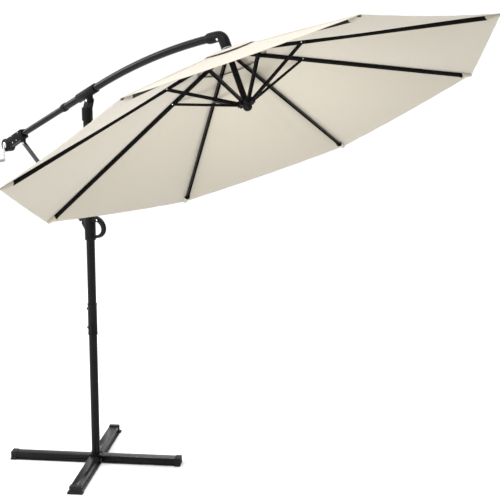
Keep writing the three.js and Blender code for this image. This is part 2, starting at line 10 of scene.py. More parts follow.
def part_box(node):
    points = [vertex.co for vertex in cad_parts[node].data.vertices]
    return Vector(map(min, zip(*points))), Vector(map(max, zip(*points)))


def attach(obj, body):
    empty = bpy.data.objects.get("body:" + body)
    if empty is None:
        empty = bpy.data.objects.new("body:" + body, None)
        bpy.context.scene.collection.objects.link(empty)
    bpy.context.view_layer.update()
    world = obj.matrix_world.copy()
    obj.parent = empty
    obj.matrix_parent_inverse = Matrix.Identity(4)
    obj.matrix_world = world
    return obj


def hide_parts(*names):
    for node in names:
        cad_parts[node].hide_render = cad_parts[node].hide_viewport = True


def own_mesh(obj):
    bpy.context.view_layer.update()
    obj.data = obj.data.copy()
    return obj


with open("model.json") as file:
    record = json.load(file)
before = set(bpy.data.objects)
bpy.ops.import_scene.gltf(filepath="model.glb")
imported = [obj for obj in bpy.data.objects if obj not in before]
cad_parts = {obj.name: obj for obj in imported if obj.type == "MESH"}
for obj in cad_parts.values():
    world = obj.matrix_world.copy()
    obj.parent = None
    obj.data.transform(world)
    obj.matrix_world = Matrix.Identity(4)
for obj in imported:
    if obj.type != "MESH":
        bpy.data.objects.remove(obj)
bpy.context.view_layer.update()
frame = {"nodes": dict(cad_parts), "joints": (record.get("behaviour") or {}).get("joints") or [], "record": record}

bl_info = {
    "name": "Cantilever Patio Umbrella",
    "version": (1, 0, 0),
    "blender": (4, 5, 0),
    "location": "View3D > Sidebar > Umbrella",
    "description": "Builds the canopy, frame, winch and base of a cantilever umbrella",
    "category": "Add Mesh",
}

SPOKES = 8
HALF_STEP = np.pi / SPOKES
TURN = 2 * np.pi
JOINTS = {joint["name"]: joint for joint in frame["joints"]}


def joint_place(name):
    """Position of a joint, as an array in metres."""
    return np.array(JOINTS[name]["pos_m"], float)


def joint_axis(name):
    """Unit axis of a joint."""
    axis = np.array(JOINTS[name]["axis"], float)
    return axis / np.linalg.norm(axis)


# The hub's own axes, worked out from the rib hinges.
HINGES = np.array([joint_place(f"rib_{i + 1}_fold") for i in range(SPOKES)])
CROWN = HINGES.mean(axis=0)
MAST_UP = -joint_axis("runner_slide")
OUTWARD = (HINGES - CROWN) / np.linalg.norm(HINGES - CROWN, axis=1)[:, None]
ACROSS = np.array([joint_axis(f"rib_{i + 1}_fold") for i in range(SPOKES)])
HINGE_RADIUS = float(np.linalg.norm(HINGES[0] - CROWN))
RIB_WAYS = np.array([joint_place(f"stretcher_{i + 1}_hinge") for i in range(SPOKES)]) - HINGES
STRETCHER_AT = float(np.linalg.norm(RIB_WAYS[0]))
RIB_WAYS = RIB_WAYS / STRETCHER_AT
DROOP = float(np.arcsin(-RIB_WAYS[0] @ MAST_UP))
RUNNER_DROP = 0.255
FOOT = CROWN - MAST_UP * RUNNER_DROP

ARM_PIVOT = joint_place("arm_tilt")
ARM_HEADING = np.radians(23.4)
ARM_WAY = np.array([np.cos(ARM_HEADING), 0.0, np.sin(ARM_HEADING)])
ARM_NORMAL = np.array([-np.sin(ARM_HEADING), 0.0, np.cos(ARM_HEADING)])
ARM_RISE = 0.043
MAST_WAY = -MAST_UP
Y_AXIS = np.array([0.0, 1.0, 0.0])
Z_AXIS = np.array([0.0, 0.0, 1.0])

# The bowed arm's centreline, from the arm's pivot, in metres.
BOW_START = 0.095
BOW_RADIUS = 4.25
BOW_TURN = np.radians(12.4)
ARM_TO_CORNER = 0.101

CLOTH_GAP = 0.0001           # between two layers of cloth
CLOTH_OVER_RIB = 0.0021      # cloth over a rib's upper face
CAP_OVER_RIB = 0.009         # vent cap over a rib's upper face
SHARP_ANGLE = 0.62           # edges turned by more than this stay crisp, in radians
CLOTH_SHARP_ANGLE = 0.9
WALL = 0.0015                # of the pole and arm tubes
ROUND_SIDES = 56
FLANGE_TOP = 0.0466          # height of the base flange
DUST_COLOUR = (0.16, 0.15, 0.135)
BODY_OF = {node: body for body, nodes in frame["record"]["behaviour"]["bodies"].items() for node in nodes}
GROUPS = {}                  # shader groups, by use
FINISH = {}                  # materials, by a maker's name for the finish


# ---------------------------------------------------------------- settings

def length_setting(name, description, default, low, high):
    """A length property in metres."""
    return bpy.props.FloatProperty(
        name=name, description=description, default=default, min=low, max=high,
        subtype="DISTANCE", unit="LENGTH", precision=4)


def colour_setting(name, description, default):
    """A linear colour property."""
    return bpy.props.FloatVectorProperty(
        name=name, description=description, default=default, size=3, min=0, max=1, subtype="COLOR")


class UmbrellaCanopySettings(bpy.types.PropertyGroup):
    """Sizes of the sewn canopy."""
    corner_radius: length_setting("Corner radius", "Mast axis to a canopy corner", 1.25, 0.8, 1.8)
    vent_radius: length_setting("Vent radius", "Mast axis to the edge of the vent", 0.19, 0.05, 0.4)
    cap_radius: length_setting("Cap radius", "Mast axis to a corner of the vent cap", 0.285, 0.1, 0.5)
    panel_sag: length_setting("Panel sag", "How far a panel hangs in between two ribs", 0.016, 0, 0.05)
    slack: length_setting("Slack", "How far the edge hangs down, halfway between two ribs", 0.005, 0, 0.06)
    hem_width: length_setting("Hem width", "Width of the folded hem", 0.024, 0.005, 0.06)
    cloth_thickness: length_setting("Cloth thickness", "Thickness of the cloth", 0.0009, 0.0003, 0.003)
    thread: length_setting("Thread spacing", "Distance between threads of the weave", 0.0011, 0.0003, 0.004)
    cloth_colour: colour_setting("Cloth colour", "Colour of the canopy cloth", (0.458, 0.42, 0.342))


class UmbrellaFrameSettings(bpy.types.PropertyGroup):
    """Sizes and colours of the metal frame and its joints."""
    pole_radius: length_setting("Pole radius", "Outside radius of the pole", 0.024, 0.015, 0.04)
    arm_radius: length_setting("Arm radius", "Outside radius of the bowed arm", 0.02, 0.01, 0.04)
    rib_width: length_setting("Rib width", "Width of a rib's channel section", 0.012, 0.005, 0.03)
    rib_height: length_setting("Rib height", "Height of a rib's channel section", 0.018, 0.005, 0.03)
    steel_colour: colour_setting("Coating colour", "Powder coat on the steel", (0.0026, 0.0026, 0.003))
    plastic_colour: colour_setting("Plastic colour", "Moulded joints", (0.0028, 0.0028, 0.003))
    strut_colour: colour_setting("Strut colour", "Coat on the strut", (0.03, 0.031, 0.033))
    grip_colour: colour_setting("Grip colour", "Winch grip", (0.26, 0.265, 0.27))


# ---------------------------------------------------------------- meshes

def new_piece(name, points, faces, body, finish, uv=None):
    """A smooth mesh object from arrays of points and faces, riding on a body, in a finish."""
    mesh = bpy.data.meshes.new(name)
    mesh.from_pydata(np.asarray(points, float).tolist(), [], [list(map(int, f)) for f in faces])
    if uv is not None:
        corners = np.empty(len(mesh.loops), dtype=np.int32)
        mesh.loops.foreach_get("vertex_index", corners)
        layer = mesh.uv_layers.new(name="UVMap")
        layer.data.foreach_set("uv", np.asarray(uv, np.float32)[corners].ravel())
    mesh.polygons.foreach_set("use_smooth", np.full(len(mesh.polygons), True))
    mesh.update()
    return placed(name, mesh, body, finish)


def placed(name, mesh, body, finish):
    """Links a mesh as an object and gives it its finish, in its one material slot, and its body."""
    piece = bpy.data.objects.new(name, mesh)
    bpy.context.scene.collection.objects.link(piece)
    mesh.materials.clear()
    mesh.materials.append(FINISH[finish])
    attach(piece, body)
    return piece


def grid_faces(rows, columns, close_rows=False, close_columns=False):
    """Quads of a grid of rows x columns points, numbered row by row."""
    i = np.arange(rows if close_rows else rows - 1)
    j = np.arange(columns if close_columns else columns - 1)
    a, b = np.meshgrid(i, j, indexing="ij")
    c, d = (a + 1) % rows, (b + 1) % columns
    return np.stack([a * columns + b, a * columns + d, c * columns + d, c * columns + b], -1).reshape(-1, 4)


def frames_along(path, side):
    """Unit tangent, side and up of each point of a path; side is kept square to the path."""
    tangent = np.gradient(path, axis=0)
    tangent /= np.linalg.norm(tangent, axis=1)[:, None]
    across = side - tangent * (tangent @ side)[:, None]
    across /= np.linalg.norm(across, axis=1)[:, None]
    return tangent, across, np.cross(tangent, across)


def swept(path, sections, side):
    """Each point of a closed section (across, up) is carried along the path:
    point = path + across * side + up * (tangent x side). One section per path point."""
    path = np.asarray(path, float)
    sections = np.broadcast_to(np.asarray(sections, float), (len(path),) + np.shape(sections)[-2:])
    _, across, up = frames_along(path, np.asarray(side, float))
    points = path[:, None] + sections[..., :1] * across[:, None] + sections[..., 1:] * up[:, None]
    return points.reshape(-1, 3), sections.shape[1]


def capped_sweep(path, sections, side):
    """A swept section with flat ends: both ends are closed by one face."""
    points, around = swept(path, sections, side)
    rows = len(points) // around
    faces = [list(f) for f in grid_faces(rows, around, close_columns=True)[:, ::-1]]
    faces.append(list(range(around)))
    faces.append(list(range(len(points) - 1, len(points) - 1 - around, -1)))
    return points, faces


def circle(radius, sides):
    """Circle of unit steps: (radius cos t, radius sin t)."""
    t = np.arange(sides) * TURN / sides
    return np.stack([radius * np.cos(t), radius * np.sin(t)], -1)


def revolved(profile, start, way, sides=40):
    """A profile of (distance along the axis, radius) turned about the axis:
    point = start + along * way + radius * (cos t * u + sin t * v). Radius 0 ends close on the axis."""
    way = np.asarray(way, float) / np.linalg.norm(way)
    u = np.cross(way, Y_AXIS if abs(way[1]) < 0.9 else Z_AXIS)
    u /= np.linalg.norm(u)
    v = np.cross(way, u)
    profile = np.asarray(profile, float)
    t = np.arange(sides) * TURN / sides
    ring = np.cos(t)[:, None] * u + np.sin(t)[:, None] * v
    points = start + profile[:, :1, None] * way + profile[:, 1:, None] * ring[None]
    points = points.reshape(-1, 3)
    closed = profile[0, 1] > 0
    faces = grid_faces(len(profile), sides, close_rows=closed, close_columns=True)
    return points, [list(f) for f in faces]


def joined(shapes):
    """Several (points, faces) pairs as one."""
    points, faces, base = [], [], 0
    for shape_points, shape_faces in shapes:
        points.append(shape_points)
        faces += [[index + base for index in face] for face in shape_faces]
        base += len(shape_points)
    return np.concatenate(points), faces


def cleaned(piece, distance=1e-6):
    """Merges doubles and turns every face outwards."""
    work = bmesh.new()
    work.from_mesh(piece.data)
    bmesh.ops.remove_doubles(work, verts=work.verts, dist=distance)
    bmesh.ops.dissolve_degenerate(work, edges=work.edges, dist=distance)
    bmesh.ops.recalc_face_normals(work, faces=work.faces)
    work.to_mesh(piece.data)
    work.free()
    return piece


def rounded_edges(piece, width):
    """Bevels the sharp edges and keeps the flats flat."""
    bevel = piece.modifiers.new("rounded edges", "BEVEL")
    bevel.width = width
    bevel.segments = 2
    bevel.limit_method = "ANGLE"
    bevel.angle_limit = 0.6
    bevel.harden_normals = True


def finished_copy(node, name, finish, width=0.0008):
    """A CAD node's shape, merged, with its edges rounded, standing for that node."""
    mesh = frame["nodes"][node].data.copy()
    mesh.name = name
    piece = cleaned(placed(name, mesh, BODY_OF[node], finish), 2e-5)
    piece.data.polygons.foreach_set("use_smooth", np.full(len(piece.data.polygons), True))
    if width:
        rounded_edges(piece, width)
    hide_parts(node)
    return piece


def sharpen(piece, angle=SHARP_ANGLE):
    """Smooth shading only across edges gentler than the angle."""
    mesh = piece.data
    mesh.polygons.foreach_set("use_smooth", np.full(len(mesh.polygons), True))
    mesh.set_sharp_from_angle(angle=angle)
    return piece


def shell(name, shape, body, finish, node=None, angle=SHARP_ANGLE):
    """A cleaned piece with crisp corners, standing for a CAD node where one is named."""
    piece = sharpen(cleaned(new_piece(name, *shape, body, finish)), angle)
    if node:
        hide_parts(node)
    return piece


# ---------------------------------------------------------------- materials

def link(tree, source, target):
    """Joins an output socket to an input."""
    tree.links.new(source, target)


def math_node(tree, operation, first, second=None):
    """A Math node fed by sockets or plain numbers; gives its output socket."""
    node = tree.nodes.new("ShaderNodeMath")
    node.operation = operation
    for index, value in enumerate((first, second)):
        if value is None:
            continue
        if isinstance(value, (int, float)):
            node.inputs[index].default_value = value
        else:
            link(tree, value, node.inputs[index])
    return node.outputs[0]


def group_shell(name, numbers, outputs):
    """An empty shader node group. It takes a vector and the named numbers, with their defaults, and
    gives the named outputs."""
    tree = bpy.data.node_groups.new(name, "ShaderNodeTree")
    tree.interface.new_socket("Vector", in_out="INPUT", socket_type="NodeSocketVector")
    for label, default in numbers.items():
        socket = tree.interface.new_socket(label, in_out="INPUT", socket_type="NodeSocketFloat")
        socket.default_value = default
    for label in outputs:
        tree.interface.new_socket(label, in_out="OUTPUT", socket_type="NodeSocketFloat")
    return tree, tree.nodes.new("NodeGroupInput").outputs, tree.nodes.new("NodeGroupOutput").inputs


def noise_node(tree, vector, scale, detail=3.0, roughness=0.55):
    """A Noise texture in object or cloth coordinates; gives its factor."""
    node = tree.nodes.new("ShaderNodeTexNoise")
    link(tree, vector, node.inputs["Vector"])
    node.inputs["Scale"].default_value = scale
    node.inputs["Detail"].default_value = detail
    node.inputs["Roughness"].default_value = roughness
    return node.outputs["Fac"]


def ramp(tree, value, low, high, out_low, out_high):
    """Maps a value from one range to another, clamped."""
    node = tree.nodes.new("ShaderNodeMapRange")
    link(tree, value, node.inputs["Value"])
    settings = {"From Min": low, "From Max": high, "To Min": out_low, "To Max": out_high}
    for label, number in settings.items():
        if isinstance(number, (int, float)):
            node.inputs[label].default_value = number
        else:
            link(tree, number, node.inputs[label])
    return node.outputs["Result"]


def blended(tree, factor, first, second):
    """Mixes two colours; each is a socket or a colour."""
    node = tree.nodes.new("ShaderNodeMix")
    node.data_type = "RGBA"
    link(tree, factor, node.inputs["Factor"])
    for socket, value in ((node.inputs[6], first), (node.inputs[7], second)):
        if isinstance(value, bpy.types.NodeSocket):
            link(tree, value, socket)
        else:
            socket.default_value = (*value, 1.0)
    return node.outputs[2]


def grain_group():
    """Fine orange peel with broad patches of duller coat."""
    tree, given, out = group_shell(
        "coat grain", {"Grain Scale": 900.0, "Dull": 0.45, "Glossy": 0.3}, ("Height", "Roughness", "Patches"))
    fine = tree.nodes.new("ShaderNodeTexNoise")
    link(tree, given["Vector"], fine.inputs["Vector"])
    link(tree, given["Grain Scale"], fine.inputs["Scale"])
    fine.inputs["Detail"].default_value = 2.0
    broad = noise_node(tree, given["Vector"], 9.0, 4.0)
    link(tree, fine.outputs["Fac"], out["Height"])
    link(tree, ramp(tree, broad, 0.35, 0.68, given["Glossy"], given["Dull"]), out["Roughness"])
    link(tree, ramp(tree, broad, 0.4, 0.7, 0.0, 1.0), out["Patches"])
    return tree


def dust_group():
    """Light dust that gathers on faces that look up."""
    tree, given, out = group_shell("settled dust", {"Amount": 0.3}, ("Mask",))
    geometry = tree.nodes.new("ShaderNodeNewGeometry")
    parts = tree.nodes.new("ShaderNodeSeparateXYZ")
    link(tree, geometry.outputs["Normal"], parts.inputs[0])
    upward = ramp(tree, parts.outputs["Z"], 0.45, 1.0, 0.0, 1.0)
    spots = ramp(tree, noise_node(tree, given["Vector"], 60.0, 5.0, 0.7), 0.45, 0.75, 0.0, 1.0)
    mask = math_node(tree, "MULTIPLY", math_node(tree, "MULTIPLY", upward, spots), given["Amount"])
    link(tree, mask, out["Mask"])
    return tree


def wear_group():
    """Rubbed edges: how far a normal rounded over a small radius turns from the face's own,
    broken up by noise."""
    tree, given, out = group_shell("rubbed edges", {"Amount": 0.5}, ("Mask",))
    rounded = tree.nodes.new("ShaderNodeBevel")
    rounded.samples = 4
    rounded.inputs["Radius"].default_value = 0.0016
    geometry = tree.nodes.new("ShaderNodeNewGeometry")
    facing = tree.nodes.new("ShaderNodeVectorMath")
    facing.operation = "DOT_PRODUCT"
    link(tree, rounded.outputs["Normal"], facing.inputs[0])
    link(tree, geometry.outputs["Normal"], facing.inputs[1])
    turned = ramp(tree, facing.outputs["Value"], 0.99, 0.85, 0.0, 1.0)
    chips = ramp(tree, noise_node(tree, given["Vector"], 140.0, 4.0, 0.65), 0.42, 0.62, 0.0, 1.0)
    mask = math_node(tree, "MULTIPLY", math_node(tree, "MULTIPLY", turned, chips), given["Amount"])
    link(tree, mask, out["Mask"])
    return tree


def weave_group():
    """Plain weave: warp and weft rise in turn, as sin(pi x / spacing) * sin(pi y / spacing),
    with noise added for uneven threads."""
    tree, given, out = group_shell("plain weave", {"Spacing": 0.0011}, ("Height", "Shade"))
    parts = tree.nodes.new("ShaderNodeSeparateXYZ")
    link(tree, given["Vector"], parts.inputs[0])
    pitch = math_node(tree, "DIVIDE", float(np.pi), given["Spacing"])
    warp = math_node(tree, "SINE", math_node(tree, "MULTIPLY", parts.outputs["X"], pitch))
    weft = math_node(tree, "SINE", math_node(tree, "MULTIPLY", parts.outputs["Y"], pitch))
    crossing = math_node(tree, "MULTIPLY", warp, weft)
    slubs = noise_node(tree, given["Vector"], 420.0, 2.0)
    height = math_node(tree, "ADD", crossing, math_node(tree, "MULTIPLY", slubs, 0.6))
    link(tree, height, out["Height"])
    link(tree, ramp(tree, height, -0.6, 1.4, 0.0, 1.0), out["Shade"])
    return tree


def placed_group(tree, group, vector, **values):
    """A group node in a material, with its own values."""
    node = tree.nodes.new("ShaderNodeGroup")
    node.node_tree = group
    link(tree, vector, node.inputs["Vector"])
    for label, value in values.items():
        node.inputs[label.replace("_", " ").title()].default_value = value
    return node.outputs


def blank_material(name, coordinates):
    """A material with only its Principled BSDF; gives the tree, shader and coordinates."""
    material = bpy.data.materials.new(name)
    material.use_nodes = True
    tree = material.node_tree
    shader = tree.nodes["Principled BSDF"]
    place = tree.nodes.new("ShaderNodeTexCoord").outputs[coordinates]
    return material, tree, shader, place


def bump(tree, shader, height, distance, strength):
    """Relief from a height socket, in metres."""
    node = tree.nodes.new("ShaderNodeBump")
    node.inputs["Distance"].default_value = distance
    node.inputs["Strength"].default_value = strength
    link(tree, height, node.inputs["Height"])
    link(tree, node.outputs["Normal"], shader.inputs["Normal"])


def coated(name, colour, dull, glossy, grain, relief, dust, coat=0.0, shine=0.1, wear=0.35):
    """Painted steel or moulded plastic: grain, duller patches, rubbed edges and settled dust."""
    material, tree, shader, place = blank_material(name, "Object")
    grain_out = placed_group(tree, GROUPS["grain"], place, grain_scale=grain, dull=dull, glossy=glossy)
    dust_out = placed_group(tree, GROUPS["dust"], place, amount=dust)
    lighter = tuple(min(1.0, channel * 1.5 + 0.001) for channel in colour)
    patched = blended(tree, grain_out["Patches"], colour, lighter)
    wear_out = placed_group(tree, GROUPS["wear"], place, amount=wear)
    rubbed = blended(tree, wear_out["Mask"], patched, tuple(channel * 2 + 0.025 for channel in colour))
    link(tree, blended(tree, dust_out["Mask"], rubbed, DUST_COLOUR), shader.inputs["Base Color"])
    link(tree, grain_out["Roughness"], shader.inputs["Roughness"])
    shader.inputs["Specular IOR Level"].default_value = shine
    shader.inputs["Coat Weight"].default_value = coat
    shader.inputs["Coat Roughness"].default_value = 0.12
    bump(tree, shader, grain_out["Height"], 0.00025, relief)
    return material


def cloth_material(name, colour, thread, shade=1.0):
    """Woven polyester: weave relief, uneven dye and a soft sheen."""
    material, tree, shader, place = blank_material(name, "UV")
    weave = placed_group(tree, GROUPS["weave"], place, spacing=thread)
    tint = tuple(channel * shade for channel in colour)
    deep = tuple(channel * 0.88 for channel in tint)
    woven = blended(tree, weave["Shade"], deep, tint)
    cloudy = ramp(tree, noise_node(tree, place, 3.5, 4.0), 0.35, 0.7, 0.0, 0.35)
    faded = tuple(channel * 0.93 for channel in tint)
    link(tree, blended(tree, cloudy, woven, faded), shader.inputs["Base Color"])
    link(tree, ramp(tree, noise_node(tree, place, 40.0), 0.3, 0.7, 0.78, 0.92), shader.inputs["Roughness"])
    shader.inputs["Sheen Weight"].default_value = 0.25
    shader.inputs["Sheen Roughness"].default_value = 0.5
    bump(tree, shader, weave["Height"], 0.00022, 0.5)
    return material


def polished_material(name, colour, rough_low, rough_high):
    """Plated steel with fine smears."""
    material, tree, shader, place = blank_material(name, "Object")
    smears = noise_node(tree, place, 70.0, 5.0, 0.7)
    link(tree, ramp(tree, smears, 0.3, 0.7, rough_low, rough_high), shader.inputs["Roughness"])
    dulled = tuple(channel * 0.8 for channel in colour)
    link(tree, blended(tree, smears, colour, dulled), shader.inputs["Base Color"])
    shader.inputs["Metallic"].default_value = 1.0
    return material


def make_finishes(scene):
    """Every finish of the umbrella, by a maker's name for it."""
    canopy, metal = scene.umbrella_canopy, scene.umbrella_frame
    GROUPS.update(grain=grain_group(), dust=dust_group(), wear=wear_group(), weave=weave_group())
    steel = tuple(metal.steel_colour)
    # colour, dull and glossy roughness, grain scale, relief, dust, and clear coat
    painted = {
        "steel": ("powder coated steel", steel, 0.36, 0.22, 850.0, 0.3, 0.02, 0.05),
        "base": ("powder coated base", steel, 0.34, 0.2, 600.0, 0.35, 0.05, 0.08),
        "plastic": ("moulded black plastic", tuple(metal.plastic_colour), 0.55, 0.42, 1600.0, 0.5, 0.05),
        "strut": ("grey coated strut", tuple(metal.strut_colour), 0.45, 0.32, 900.0, 0.3, 0.05, 0.1),
        "grip": ("grey grip plastic", tuple(metal.grip_colour), 0.6, 0.45, 1400.0, 0.5, 0.1),
        "rubber": ("black rubber foot", (0.011, 0.011, 0.012), 0.75, 0.6, 1100.0, 0.6, 0.35),
        "cord": ("braided cord", (0.03, 0.03, 0.03), 0.9, 0.8, 2500.0, 1.0, 0.0)}
    for finish, values in painted.items():
        FINISH[finish] = coated(*values)
    cloth = tuple(canopy.cloth_colour)
    FINISH["cloth"] = cloth_material("canopy cloth", cloth, canopy.thread)
    FINISH["trim"] = cloth_material("canopy hem cloth", cloth, canopy.thread, 0.94)
    FINISH["bright"] = polished_material("plated steel", (0.72, 0.73, 0.75), 0.12, 0.3)


# ---------------------------------------------------------------- canopy

def ridge_height(radius, lift):
    """Height over the crown's hinge plane of the cloth on a rib, at a distance from the mast."""
    return lift - (radius - HINGE_RADIUS) * np.tan(DROOP)


def roof_points(spoke, radius, share, height):
    """Points of the eight-sided roof over one rib, half a panel to each side.
    radius is that of the ridge, share runs from -1 to 1 across, and the distance from the mast is
    radius * cos(22.5) / cos(22.5 - |angle|), which keeps the line between two ribs straight."""
    angle = share * HALF_STEP
    plan = radius * np.cos(HALF_STEP) / np.cos(HALF_STEP - np.abs(angle))
    out = plan * np.cos(angle)
    side = plan * np.sin(angle)
    return (CROWN + out[..., None] * OUTWARD[spoke] + side[..., None] * ACROSS[spoke]
            + height[..., None] * MAST_UP)


def fullness(share):
    """0 on the rib and 1 halfway to the next, level where two gores meet: 1 - (1 - |share|)^2."""
    return 1 - (1 - np.abs(share)) ** 2


def cloth_surface(scene, spoke, radius, share, lift=0.0):
    """Main cloth over one rib, with along running from 0 at the vent to 1 at the edge.
    Between ribs it hangs in by sag * fullness * (0.25 + 0.9 sin(pi * along^1.2)). Its edge is drawn in
    by a shallow arc, along^6. Small creases fan out from the corner, sin(19 share) under a bell curve,
    the cloth beside the ridge is ruffled by sin(23 |share| + 3 along), and the edge hangs down by
    slack * fullness * along^1.5."""
    canopy = scene.umbrella_canopy
    edge = canopy.corner_radius
    full = fullness(share)
    along = (radius - canopy.vent_radius) / (edge - canopy.vent_radius)
    drawn = radius * (1 - 0.003 * full * np.clip(along, 0, 1) ** 6)
    sag = canopy.panel_sag * full * (0.25 + np.sin(np.pi * np.clip(along, 0, 1) ** 1.2) * 0.9)
    fan = np.sin(share * 19.0) * np.exp(-((1 - along) / 0.09) ** 2) * (1 - full) * np.abs(share) * 0.005
    strain = 0.0022 * np.sin(np.abs(share) * 23.0 + along * 3.0) * (1 - full) * np.sin(np.pi * along) ** 2
    clear = scene.umbrella_frame.rib_height / 2 / np.cos(DROOP) + CLOTH_OVER_RIB
    slack = canopy.slack * full * np.clip(along, 0, 1) ** 1.5
    surface = roof_points(spoke, drawn, share, ridge_height(drawn, clear + lift) - sag + fan + strain)
    return surface - slack[..., None] * Z_AXIS


def patch(surface, radii, shares, thickness):
    """A closed sheet between a surface and the same surface lifted by the thickness."""
    grid_radius, grid_share = np.meshgrid(radii, shares, indexing="ij")
    low = surface(grid_radius, grid_share, 0.0)
    high = surface(grid_radius, grid_share, thickness)
    rows, columns = grid_radius.shape
    count = rows * columns
    faces = grid_faces(rows, columns)
    index = np.arange(count).reshape(rows, columns)
    rim = np.concatenate([index[0, :-1], index[:-1, -1], index[-1, :0:-1], index[:0:-1, 0]])
    after = np.roll(rim, -1)
    walls = np.stack([rim, after, after + count, rim + count], -1)
    points = np.concatenate([low.reshape(-1, 3), high.reshape(-1, 3)])
    flat = np.stack([(grid_share * HALF_STEP * grid_radius).ravel(),
                     (grid_radius / np.cos(DROOP)).ravel()], -1)
    all_faces = np.concatenate([faces[:, ::-1], faces + count, walls[:, ::-1]])
    return points, all_faces, np.concatenate([flat, flat])


def cloth_piece(name, spoke, shape, finish):
    """A piece of cloth that goes with one rib and closes up against it as the canopy folds."""
    points, faces, flat = shape
    piece = new_piece(name, points, faces, f"rib_{spoke + 1}", finish, flat)
    sharpen(cleaned(piece, 1e-7), CLOTH_SHARP_ANGLE)
    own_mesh(piece)
    return piece


class UMBRELLA_OT_canopy(bpy.types.Operator):
    """Eight gores of cream cloth with hems, ridge seams and corner pockets"""
    bl_idname = "umbrella.canopy"
    bl_label = "Build Canopy"

    def execute(self, context):
        scene = context.scene
        canopy = scene.umbrella_canopy
        edge = canopy.corner_radius
        inner = canopy.vent_radius
        thick = canopy.cloth_thickness
        even = np.linspace(-1, 1, 41)
        across = np.sin(even * np.pi / 2) * 0.5 + even * 0.5
        rows = edge - (1 - np.linspace(0, 1, 60)) ** 1.3 * (edge - inner)
        band = np.linspace(edge - canopy.hem_width, edge - 0.0005, 5)
        radii = np.linspace(inner + 0.002, edge - 0.0006, 70)
        for i in range(SPOKES):
            def main(radius, share, lift, spoke=i):
                return cloth_surface(scene, spoke, radius, share, lift)

            def over(radius, share, lift, spoke=i):
                return main(radius, share, lift + thick + CLOTH_GAP, spoke)

            gore = cloth_piece(f"canopy_gore_{i + 1}", i, patch(main, rows, across, thick), "cloth")
            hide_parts(f"gore_{i + 1}")
            hem = cloth_piece(f"canopy_hem_{i + 1}", i, patch(over, band, across, thick), "trim")
            tape = self.seam(scene, i, radii)
            purse = self.pocket(scene, i)
        return {"FINISHED"}

    def seam(self, scene, spoke, radii):
        """Tape along the ridge, crowned across its width by 0.6 mm * (1 - share^2)."""
        half_width = 0.009
        thick = scene.umbrella_canopy.cloth_thickness

        def surface(radius, share, lift):
            width = share * half_width / (HALF_STEP * radius)
            raised = lift + thick + CLOTH_GAP + 0.0006 * (1 - share ** 2)
            return cloth_surface(scene, spoke, radius, width, raised)

        shape = patch(surface, radii, np.linspace(-1, 1, 7), thick)
        return cloth_piece(f"ridge_seam_{spoke + 1}", spoke, shape, "trim")

    def pocket(self, scene, spoke):
        """Sleeve under the rib's end. It widens and deepens inwards from the corner, and its section
        is a half ellipse, depth * sqrt(1 - share^2)."""
        edge = scene.umbrella_canopy.corner_radius
        length = 0.058

        def surface(radius, share, lift):
            reach = np.clip((edge - radius) / length, 0, 1)
            width = share * (0.010 + 0.009 * reach) / (HALF_STEP * radius)
            hang = (0.005 + 0.0175 * np.sqrt(reach)) * np.sqrt(np.clip(1 - share ** 2, 0, 1))
            return cloth_surface(scene, spoke, radius, width, lift - hang - 0.0012)

        radii = np.linspace(edge - length, edge - 0.003, 16)
        shape = patch(surface, radii, np.linspace(-1, 1, 17), 0.0008)
        return cloth_piece(f"corner_pocket_{spoke + 1}", spoke, shape, "trim")


class UMBRELLA_OT_vent_cap(bpy.types.Operator):
    """The small upper roof over the vent, in eight parts, with its hem"""
    bl_idname = "umbrella.vent_cap"
    bl_label = "Build Vent Cap"

    def execute(self, context):
        scene = context.scene
        canopy = scene.umbrella_canopy
        thick = canopy.cloth_thickness
        edge = canopy.cap_radius
        start = 0.031        # cloth's inner edge, at the crown
        high = 0.0182        # its height there
        clear = scene.umbrella_frame.rib_height / 2 / np.cos(DROOP) + CAP_OVER_RIB
        low = ridge_height(edge, clear)
        slope = (high - low) / (edge - start)
        across = np.linspace(-1, 1, 25)
        radii = np.linspace(start, edge, 26)
        for i in range(SPOKES):
            def roof(radius, share, lift, spoke=i):
                # height - slope * distance, a dome of sin(pi along), and a hem arc of along^4
                full = fullness(share)
                along = (radius - start) / (edge - start)
                drawn = radius * (1 - 0.03 * full * along ** 4)
                height = high - (drawn - start) * slope + lift
                dome = 0.004 * np.sin(np.pi * along) - 0.004 * full * along
                return roof_points(spoke, drawn, share, height + dome)

            def hem(radius, share, lift):
                return roof(radius, share, lift + thick + CLOTH_GAP)

            cap = cloth_piece(f"vent_cap_part_{i + 1}", i, patch(roof, radii, across, thick), "cloth")
            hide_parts("vent_cap")
            band = cloth_piece(f"vent_cap_hem_{i + 1}", i,
                               patch(hem, np.linspace(edge - 0.018, edge - 0.0004, 5), across, thick),
                               "trim")
        return {"FINISHED"}


# ---------------------------------------------------------------- frame

def channel_section(width, height, wall, corner):
    """Outline of a channel open downwards, with rounded outer corners, as (across, up) points."""
    w, h = width / 2, height / 2
    t = np.linspace(0, np.pi / 2, 5)
    right = np.stack([w - corner + corner * np.cos(t), h - corner + corner * np.sin(t)], -1)
    left = right[::-1] * [-1, 1]
    inner = np.array([[-w + wall, -h], [-w + wall, h - wall], [w - wall, h - wall], [w - wall, -h]])
    return np.concatenate([[[w, -h]], right, left, [[-w, -h]], inner])


def rivet(place, way, radius, height, sides=20):
    """Domed head: a flat disc whose edge rounds over, radius * cos t and height * sin t."""
    t = np.linspace(0, np.pi / 2, 6)
    profile = np.concatenate([[[-0.0004, 0.0], [-0.0004, radius]],
                              np.stack([height * np.sin(t), radius * np.cos(t)], -1)])
    profile[-1, 1] = 0.0
    return revolved(profile, np.asarray(place, float), way, sides)


def pair_of_rivets(place, way, half, radius, height):
    """Two heads, one at each end of a pin of the given half length."""
    way = np.asarray(way, float)
    return [rivet(place + way * half, way, radius, height), rivet(place - way * half, -way, radius, height)]


def fittings(name, shapes, body, finish="bright"):
    """Several small shapes as one piece."""
    return cleaned(new_piece(name, *joined(shapes), body, finish))


